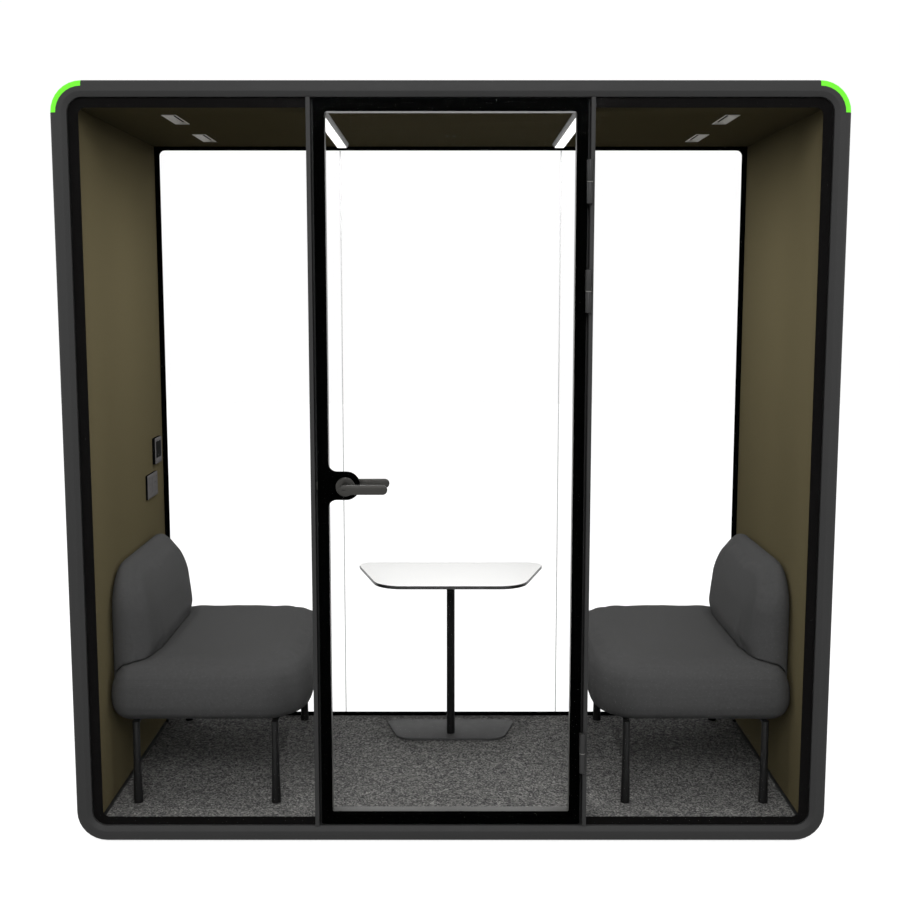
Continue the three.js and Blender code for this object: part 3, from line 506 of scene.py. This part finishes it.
def enamel(low, high):
    def recipe(place):
        return {
            "Base Color": mix(noise(place, 8.0, 3.0), low, high),
            "Roughness": 0.24 + 0.12 * noise(place, 90.0, 3.0),
        }

    return recipe


black_enamel = finish("black_enamel", enamel(*greys(1, 3)), Specular_IOR_Level=0.0)
# The front borders are painted dark grey instead of black: a painted reflection of the studio in the glass in
# front of them.
black_enamel_painted_reflection = finish(
    "black_enamel_painted_reflection", enamel(srgb(17, 16, 16), srgb(20, 19, 19)), Specular_IOR_Level=0.0,
)

PRINT_GAP = 0.00003
PRINT_THICKNESS = 0.0003
PANE_CORNER = 0.0436
PRINT_CORNER = 0.02
FRONT_SIDE, FRONT_BOTTOM, FRONT_TOP = 0.0306, 0.025, 0.0286
REAR_SIDE, REAR_BOTTOM, REAR_TOP = 0.0346, 0.0206, 0.0366

# The front borders take the enamel with the painted reflection.
for side, outward in (("left", -1), ("right", 1)):
    low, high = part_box("front_glass_" + side)
    back = (high.y + PRINT_GAP, high.y + PRINT_GAP + PRINT_THICKNESS)
    post_edge = high.x if side == "left" else low.x
    glass_edge = low.x if side == "left" else high.x
    past_post = post_edge - outward * 0.1
    width = sorted((glass_edge, past_post))
    border = slab(f"front_print_{side}", width, back, (low.z, high.z), 1, PANE_CORNER)
    width = sorted((glass_edge - outward * FRONT_SIDE, past_post - outward * 0.1))
    height = (low.z + FRONT_BOTTOM, high.z - FRONT_TOP)
    cut_out(border, slab("window", width, through(back), height, 1, PRINT_CORNER))
    bpy.ops.object.mode_set(mode="EDIT")
    bpy.ops.mesh.select_all(action="SELECT")
    bpy.ops.mesh.bisect(
        plane_co=(post_edge, 0, 0), plane_no=(-outward, 0, 0), clear_outer=True, use_fill=True,
    )
    bpy.ops.object.mode_set(mode="OBJECT")
    settle(border, black_enamel_painted_reflection)

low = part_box("rear_glass_left")[0]
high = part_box("rear_glass_right")[1]
inner = (low.y - PRINT_GAP - PRINT_THICKNESS, low.y - PRINT_GAP)
border = slab("rear_print", (low.x, high.x), inner, (low.z, high.z), 1, PANE_CORNER)
width = (low.x + REAR_SIDE, high.x - REAR_SIDE)
height = (low.z + REAR_BOTTOM, high.z - REAR_TOP)
cut_out(border, slab("window", width, through(inner), height, 1, PRINT_CORNER))
settle(border, black_enamel)


def silicone_skin(place):
    return {
        "Base Color": mix(noise(place, 40.0), srgb(182, 184, 184), srgb(198, 200, 200)),
        "Roughness": 0.4 + 0.1 * noise(place, 200.0),
    }


clear_silicone = finish("clear_silicone", silicone_skin, Alpha=0.55)

HALF_SEAM = 0.0006
HALF_BEAD = 0.002
BEAD_HEIGHT = 0.0006

for side in ("left", "right"):
    low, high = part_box("rear_glass_" + side)
    seam = high.x + HALF_SEAM if side == "left" else low.x - HALF_SEAM
    bead = slab(
        f"rear_seam_{side}", (seam - HALF_BEAD, seam + HALF_BEAD),
        (low.y - BEAD_HEIGHT, low.y - PRINT_GAP), (low.z + 0.021, high.z - 0.037), 2, 0.0002,
    )
    settle(bead, clear_silicone)


# Doorway: two charcoal posts clamped between floor and ceiling, a satin lining folded from
# aluminium sheet, a threshold plate, and a rubber seal that the leaf closes against.

post_coat = finish("post_coat", powder_coat(*greys(50, 54)), Specular_IOR_Level=0.1)

for side in ("left", "right"):
    dress("door_post_" + side, post_coat, 0.0015, 3)


def brushed(low, high, along):
    def recipe(place):
        lines = noise(stretched(place, along), 120.0, 4.0, 0.7)
        return {
            "Base Color": mix(lines, low, high),
            "Roughness": 0.3 + 0.2 * lines,
            "Normal": bump(lines, 0.08, 0.0003),
        }

    return recipe


satin_sheet = finish(
    "satin_sheet", brushed(srgb(82, 82, 80), srgb(95, 95, 92), (8.0, 8.0, 0.4)), Metallic=0.35,
)

dress("door_lining", satin_sheet, 0.0004)
dress("door_threshold", satin_sheet, 0.0012, 3)

SEAL_GAP = 0.0004
SEAL_LAP = 0.006

low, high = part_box("door_lining")
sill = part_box("door_threshold")[1].z
between = (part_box("door_frame")[1].y + SEAL_GAP, low.y - SEAL_GAP)
seal = slab(
    "door_seal", (low.x - SEAL_LAP, high.x + SEAL_LAP), between, (sill - 0.008, high.z + 0.003), 1, 0.008,
)
width = (low.x + 0.0005, high.x - 0.0005)
cut_out(seal, slab("window", width, through(between), (sill, high.z - 0.004), 1, 0.004))
settle(seal, black_rubber)


# Door leaf: one pane bonded to a slim black anodised frame, which widens into a patch
# around the lock. The print on the glass covers the frame from outside.


def anodised_skin(place):
    lines = noise(stretched(place, (6.0, 6.0, 0.5)), 90.0, 3.0)
    return {
        "Base Color": mix(lines, srgb(1, 1, 1), srgb(4, 4, 4)),
        "Roughness": 0.34 + 0.14 * lines,
        "Normal": bump(lines, 0.06, 0.0003),
    }


black_anodised = finish("black_anodised", anodised_skin, Specular_IOR_Level=0.0)

dress("door_frame", black_anodised, 0.0012, 3)

low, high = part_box("door_glass")
back = (high.y + PRINT_GAP, high.y + PRINT_GAP + PRINT_THICKNESS)
border = slab("door_print", (low.x, high.x), back, (low.z, high.z), 1, 0.006)
SIGHT_X, SIGHT_Z = (-0.360, 0.360), (0.085, 2.173)
cut_out(border, slab("window", SIGHT_X, through(back), SIGHT_Z, 1, 0.015))
LOCK_X, LOCK_Z, PATCH = -0.309, 1.095, 0.041
width = (SIGHT_X[0] - 0.005, LOCK_X + PATCH)
patch = slab("patch", width, back, (LOCK_Z - PATCH, LOCK_Z + PATCH), 1, PATCH * 0.95)
cut_out(border, patch, "UNION")
settle(border, black_enamel, "door")


# Handle: a cast lever on each face with a shared spindle, screwed rosettes that cover the
# lock, and the latch bolt in the edge of the leaf. Dark satin nickel.

dark_nickel = finish(
    "dark_nickel", brushed(srgb(39, 38, 36), srgb(48, 47, 44), (1.0, 6.0, 6.0)), Metallic=0.6,
)

for piece in ("lever_inside", "rosette_outside", "rosette_inside", "latch_bolt"):
    dress(piece, dark_nickel, 0.0008, 3)

HALF_SLIT, HALF_GROOVE, SLIT_CORNER = 0.005, 0.0013, 0.0009

lever = dress("lever_outside", dark_nickel, 0.0008, 3)
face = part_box("lever_outside")[0].y
width = (LOCK_X - HALF_SLIT, LOCK_X + HALF_SLIT)
height = (LOCK_Z - HALF_GROOVE, LOCK_Z + HALF_GROOVE)
cut_out(lever, slab("slit", width, (face - 0.001, face + 0.0014), height, 1, SLIT_CORNER))
filler = slab("lever_slit", width, (face + 0.0007, face + 0.0013), height, 1, SLIT_CORNER)
settle(filler, black_rubber, "handle")


# Hinges: three turned lift-off pairs, the pin half on the post and the socket half on the
# leaf, with a grey nylon washer between them.

hinge_steel = finish(
    "hinge_steel", brushed(*greys(46, 54), (1.0, 1.0, 8.0)), Metallic=0.4, Specular_IOR_Level=0.1,
)

for height in ("bottom", "middle", "top"):
    dress("hinge_post_" + height, hinge_steel, 0.0006)
    dress("hinge_leaf_" + height, hinge_steel, 0.0006)


def disc(name, radius, centre, depth):
    deselect()
    bpy.ops.mesh.primitive_cylinder_add(vertices=40, radius=radius, depth=depth, location=centre)
    piece = bpy.context.object
    piece.name = name
    bpy.ops.object.transform_apply(location=True, rotation=True, scale=True)
    return piece


grey_nylon = finish("grey_nylon", moulded_skin(srgb(118, 117, 113), srgb(130, 129, 125)))

HINGE_X, HINGE_Y = 0.3955, -0.483
WASHER, WASHER_BORE, WASHER_DEPTH = 0.0088, 0.0081, 0.0017

for height in ("bottom", "middle", "top"):
    middle = (HINGE_X, HINGE_Y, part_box("hinge_leaf_" + height)[0].z - 0.0014)
    washer = disc("hinge_washer_" + height, WASHER, middle, WASHER_DEPTH)
    cut_out(washer, disc("bore", WASHER_BORE, middle, 0.01))
    ease(washer, 0.0002, 2)
    settle(washer, grey_nylon)


# Ceiling lights: two slim aluminium channels screwed to the felt, each with a lit opal lens.
# Two cross-head screws between them hold the ceiling panel.

for side in ("left", "right"):
    dress("light_bar_" + side, satin_sheet, 0.0006)

BAR_X = 0.386

for side, x in (("left", -BAR_X), ("right", BAR_X)):
    low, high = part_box("light_lens_" + side)
    lamp = bpy.data.objects.new("bar_lamp_" + side, bpy.data.lights.new("bar_lamp_" + side, "AREA"))
    lamp.data.shape = "RECTANGLE"
    lamp.data.size = high.x - low.x
    lamp.data.size_y = high.y - low.y
    lamp.data.energy = 7.0
    lamp.location = (x, (low.y + high.y) / 2, low.z - 0.002)
    lamp.visible_camera = False
    scene.collection.objects.link(lamp)

opal_lens = finish(
    "opal_lens", lit_lens(srgb(248, 248, 244), srgb(255, 255, 252), 30.0),
    Base_Color=srgb(240, 240, 238), Emission_Strength=1.6,
)

for side in ("left", "right"):
    dress("light_lens_" + side, opal_lens, 0.0005)

SCREW_X, SCREW_Y = 0.012, 0.212
SCREW_HEAD, SCREW_DEPTH = 0.004, 0.0018
SLOT_REACH, SLOT_HALF = 0.0022, 0.0004

for number, x in enumerate((-SCREW_X, SCREW_X)):
    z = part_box("light_bar_left")[1].z - 0.0005
    screw = disc(f"ceiling_screw_{number + 1}", SCREW_HEAD, (x, SCREW_Y, z), SCREW_DEPTH)
    for across, along in ((SLOT_REACH, SLOT_HALF), (SLOT_HALF, SLOT_REACH)):
        width = (x - across, x + across)
        run = (SCREW_Y - along, SCREW_Y + along)
        cut_out(screw, slab("slot", width, run, (z - 0.002, z - 0.0003), 2))
    ease(screw, 0.0006)
    settle(screw, satin_sheet)


# Air outlets: four moulded frames with fixed deflector blades, pressed into the ceiling. A black
# liner above the blade is painted shade: it stands for the dark inside of the duct.

grey_plastic = finish("grey_plastic", moulded_skin(srgb(222, 220, 213), srgb(236, 234, 228)))

# Painted shade: a black liner that stands for the unlit duct behind the blade.
black_shade_liner = finish("black_shade_liner", rubber_skin, Specular_IOR_Level=0.0)

OUTLET_WALL = 0.0051
SHADE_LINER_WALL = 0.0003
BLADE_TOP = 0.0068

for side in ("left", "right"):
    for end in ("front", "rear"):
        dress(f"air_outlet_{side}_{end}", grey_plastic, 0.0004)
        low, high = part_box(f"air_outlet_{side}_{end}")
        walls = [(low[i] + OUTLET_WALL, high[i] - OUTLET_WALL) for i in (0, 1)]
        # The liner fills the throat above the blade with painted shade.
        shade_liner = slab(f"air_shade_liner_{side}_{end}", *walls, (low.z + BLADE_TOP, high.z - 0.0004), 2)
        inside = [(a + SHADE_LINER_WALL, b - SHADE_LINER_WALL) for a, b in walls]
        cut_out(shade_liner, slab("throat", *inside, (low.z, high.z + 0.01), 2))
        ease(shade_liner, 0.0001, 1)
        settle(shade_liner, black_shade_liner)


# Wall fittings: a moulded control panel with a dark glass window, and a double socket plate
# with two slotted inserts, both screwed to boxes in the left wall. Grey faces, black sides.


def fitting_skin(place):
    facing = first_wire(place.tree, "ShaderNodeNewGeometry", "Normal")
    out = facing.node("ShaderNodeSeparateXYZ", {}, {0: facing})
    grain = noise(place, 700.0, 2.0)
    face = mix(noise(place, 12.0, 4.0), srgb(99, 97, 97), srgb(107, 105, 105))
    return {
        "Base Color": mix(out > 0.6, srgb(12, 12, 12), face),
        "Roughness": 0.5 + 0.15 * grain,
        "Normal": bump(grain, 0.18, 0.0003),
    }


fitting_grey = finish("fitting_grey", fitting_skin, Specular_IOR_Level=0.0)

dress("control_panel", fitting_grey, 0.0006)
dress("socket_plate", fitting_grey, 0.0006)

panel_glass = finish("panel_glass", enamel(srgb(36, 36, 35), srgb(42, 42, 41)), Specular_IOR_Level=0.0)

low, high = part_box("control_panel")
window = slab(
    "panel_window", (high.x - 0.0019, high.x - 0.0006), (low.y + 0.0123, high.y - 0.0123),
    (low.z + 0.0223, high.z - 0.0143), 0, 0.002,
)
settle(window, panel_glass)

WELL, PITCH = 0.0267, 0.033
SLIT_HALF, SLIT_REACH = 0.001, 0.0045
SLITS = ((-0.008, 0.006, 30), (0.008, 0.006, -30), (0.0, -0.01, 0))

low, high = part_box("socket_plate")
for number, out in enumerate((-1, 1)):
    y = (low.y + high.y) / 2 + out * PITCH
    z = (low.z + high.z) / 2
    insert = slab(
        f"socket_insert_{number + 1}", (high.x - 0.0019, high.x - 0.0004), (y - WELL, y + WELL),
        (z - WELL, z + WELL), 0, 0.003,
    )
    for aside, rise, tilt in SLITS:
        width = (y + aside - SLIT_HALF, y + aside + SLIT_HALF)
        height = (z + rise - SLIT_REACH, z + rise + SLIT_REACH)
        slit = slab("slit", (high.x - 0.0014, high.x + 0.001), width, height, 0)
        middle = (high.x, y + aside, z + rise)
        bpy.ops.transform.rotate(value=math.radians(tilt), orient_axis="X", center_override=middle)
        cut_out(insert, slit)
    settle(insert, fitting_grey)


# Table: a white laminate top with a black edge band on a slim black steel column, which
# is welded to a flat grey base plate.


def laminate_skin(place):
    facing = first_wire(place.tree, "ShaderNodeNewGeometry", "Normal")
    up = facing.node("ShaderNodeSeparateXYZ", {}, {0: facing}, 2)
    speckle = noise(place, 300.0, 3.0)
    white = mix(speckle, srgb(240, 240, 239), srgb(246, 246, 245))
    return {
        "Base Color": mix(up > 0.6, srgb(20, 20, 20), white),
        "Roughness": 0.3 + 0.14 * noise(place, 60.0, 3.0),
        "Normal": bump(speckle, 0.04, 0.0002),
    }


white_laminate = finish("white_laminate", laminate_skin)
black_coat = finish("black_coat", powder_coat(*greys(18, 24)), Specular_IOR_Level=0.15)
base_coat = finish("base_coat", powder_coat(*greys(56, 61)), Specular_IOR_Level=0.2)

dress("table_top", white_laminate, 0.001, 3)
dress("table_column", black_coat)
dress("table_base", base_coat, 0.001)


# Benches: a welded black steel frame on four legs carries a foam seat and back, each in a
# sewn cover of plain grey woven wool. The covers are tight, with fully rounded edges.

for side in ("left", "right"):
    dress(side + "_bench_frame", black_coat)


def wool_weave(place):
    yarn = {"Vector": place, "Scale": 160.0, "Distortion": 1.5, "Detail": 1.0}
    warp, weft, rise = (
        place.node("ShaderNodeTexWave", {"bands_direction": axis}, yarn, 1) for axis in "XYZ"
    )
    weave = (warp + weft + rise) * 0.33
    melange = noise(place, 220.0, 4.0, 0.7)
    tone = mix(melange * 1.5 - 0.25, *greys(60, 84))
    return {
        "Base Color": mix(noise(place, 4.0, 2.0) * 0.3, tone, srgb(68, 68, 68)),
        "Roughness": 0.82 + 0.12 * weave,
        "Normal": bump(weave * 0.7 + melange * 0.5, 0.35, 0.0009),
    }


grey_wool = finish("grey_wool", wool_weave, Specular_IOR_Level=0.08)

FOAM_DRAWN_IN = 0.0005
FOAM_SWELL = 0.012
FOAM_VOXEL = 0.0082
FOAM_FILL = 0.75
FOAM_STEPS = 20
GAP_SHARE = 0.4
TUCK_LENGTH = 0.16
SEAT_TUCK = 0.026
BACK_TUCK = 0.011
REST_CLEAR = 0.0005
REST_REACH = 0.012
REST_SLOPE = 0.5


def surface(node):
    """A CAD node's faces, to measure how far the foam stands from them."""
    source = frame["nodes"][node]
    corners = [source.matrix_world @ v.co for v in source.data.vertices]
    return BVHTree.FromPolygons(corners, [p.vertices[:] for p in source.data.polygons])


def rest_on(pad, node, support):
    """The underside stays flat over the rails that carry it and may sag between them."""
    rails = surface(support)
    seat_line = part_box(node)[0].z + REST_CLEAR
    for vertex in pad.data.vertices:
        aside = rails.find_nearest((vertex.co.x, vertex.co.y, seat_line))[3]
        lowest = seat_line - REST_SLOPE * max(0.0, aside - REST_REACH)
        vertex.co.z = max(vertex.co.z, lowest)


def cushion(node, against=(), mirrored_from=None, tuck=None, support=None):
    """A padded cover over a CAD node, or a mirror copy of a finished one.

    The cover swells as cloth under pressure, but by no more than its share of the gap to
    what it lies against. The tuck (axis, end, amount) is where it is pulled tight.
    """
    source = frame["nodes"][node]
    pad = bpy.data.objects.new(node + "_pad", (mirrored_from or source).data.copy())
    scene.collection.objects.link(pad)
    pick(pad)
    if mirrored_from:
        pad.scale = (-1, 1, 1)
        bpy.ops.object.transform_apply(location=True, rotation=True, scale=True)
        bpy.ops.object.mode_set(mode="EDIT")
        bpy.ops.mesh.select_all(action="SELECT")
        bpy.ops.mesh.normals_make_consistent(inside=False)
        bpy.ops.object.mode_set(mode="OBJECT")
    else:
        bpy.ops.mesh.customdata_custom_splitnormals_clear()
        bpy.ops.object.mode_set(mode="EDIT")
        bpy.ops.mesh.select_all(action="SELECT")
        bpy.ops.mesh.remove_doubles(threshold=WELD)
        bpy.ops.transform.shrink_fatten(value=-FOAM_DRAWN_IN)
        bpy.ops.object.mode_set(mode="OBJECT")
        pad.data.remesh_voxel_size = FOAM_VOXEL
        bpy.ops.object.voxel_remesh()
        start = [v.co.copy() for v in pad.data.vertices]
        cover = pad.modifiers.new("cover", "CLOTH")
        cover.settings.use_pressure = True
        cover.settings.uniform_pressure_force = 4
        cover.settings.effector_weights.gravity = 0
        for step in range(1, FOAM_STEPS + 1):
            scene.frame_set(step)
        evaluated = pad.evaluated_get(bpy.context.evaluated_depsgraph_get())
        swollen = [v.co.copy() for v in evaluated.data.vertices]
        pad.modifiers.remove(cover)
        scene.frame_set(1)
        touching = [surface(name) for name in against]
        for vertex, old, new in zip(pad.data.vertices, start, swollen):
            gaps = [GAP_SHARE * tree.find_nearest(old)[3] for tree in touching]
            room = min(gaps + [FOAM_SWELL])
            move = new - old
            if move.length > room:
                move = move.normalized() * room
            vertex.co = old + move
        smooth = pad.modifiers.new("smooth", "SMOOTH")
        smooth.iterations = 8
        smooth.factor = 0.5
        bpy.ops.object.modifier_apply(modifier=smooth.name)
        cover_line = surface(node)
        axis, end, amount = tuck
        for vertex in pad.data.vertices:
            place, outward, *_ = cover_line.find_nearest(vertex.co)
            depth = (place - vertex.co).dot(outward)
            if depth > FOAM_DRAWN_IN:
                vertex.co = vertex.co.lerp(place - outward * FOAM_DRAWN_IN, FOAM_FILL)
            reach = max(0.0, 1 - (end - vertex.co[axis]) / TUCK_LENGTH)
            vertex.co[axis] -= amount * reach ** 2
        if support:
            rest_on(pad, node, support)
        finer = pad.modifiers.new("finer", "SUBSURF")
        finer.levels = 1
        finer.render_levels = 1
        bpy.ops.object.modifier_apply(modifier=finer.name)
    bpy.ops.object.shade_smooth()
    pad.data.materials.clear()
    pad.data.materials.append(grey_wool)
    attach(pad, "pod")
    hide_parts(node)
    return pad


left_seat = cushion(
    "left_bench_seat", ("left_bench_back", "left_bench_frame", "left_wall_lining"),
    tuck=(0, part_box("left_bench_seat")[1].x, SEAT_TUCK), support="left_bench_frame",
)
left_back = cushion(
    "left_bench_back", ("left_bench_seat", "left_wall_lining"),
    tuck=(2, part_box("left_bench_back")[1].z, BACK_TUCK),
)
cushion("right_bench_seat", mirrored_from=left_seat)
cushion("right_bench_back", mirrored_from=left_back)
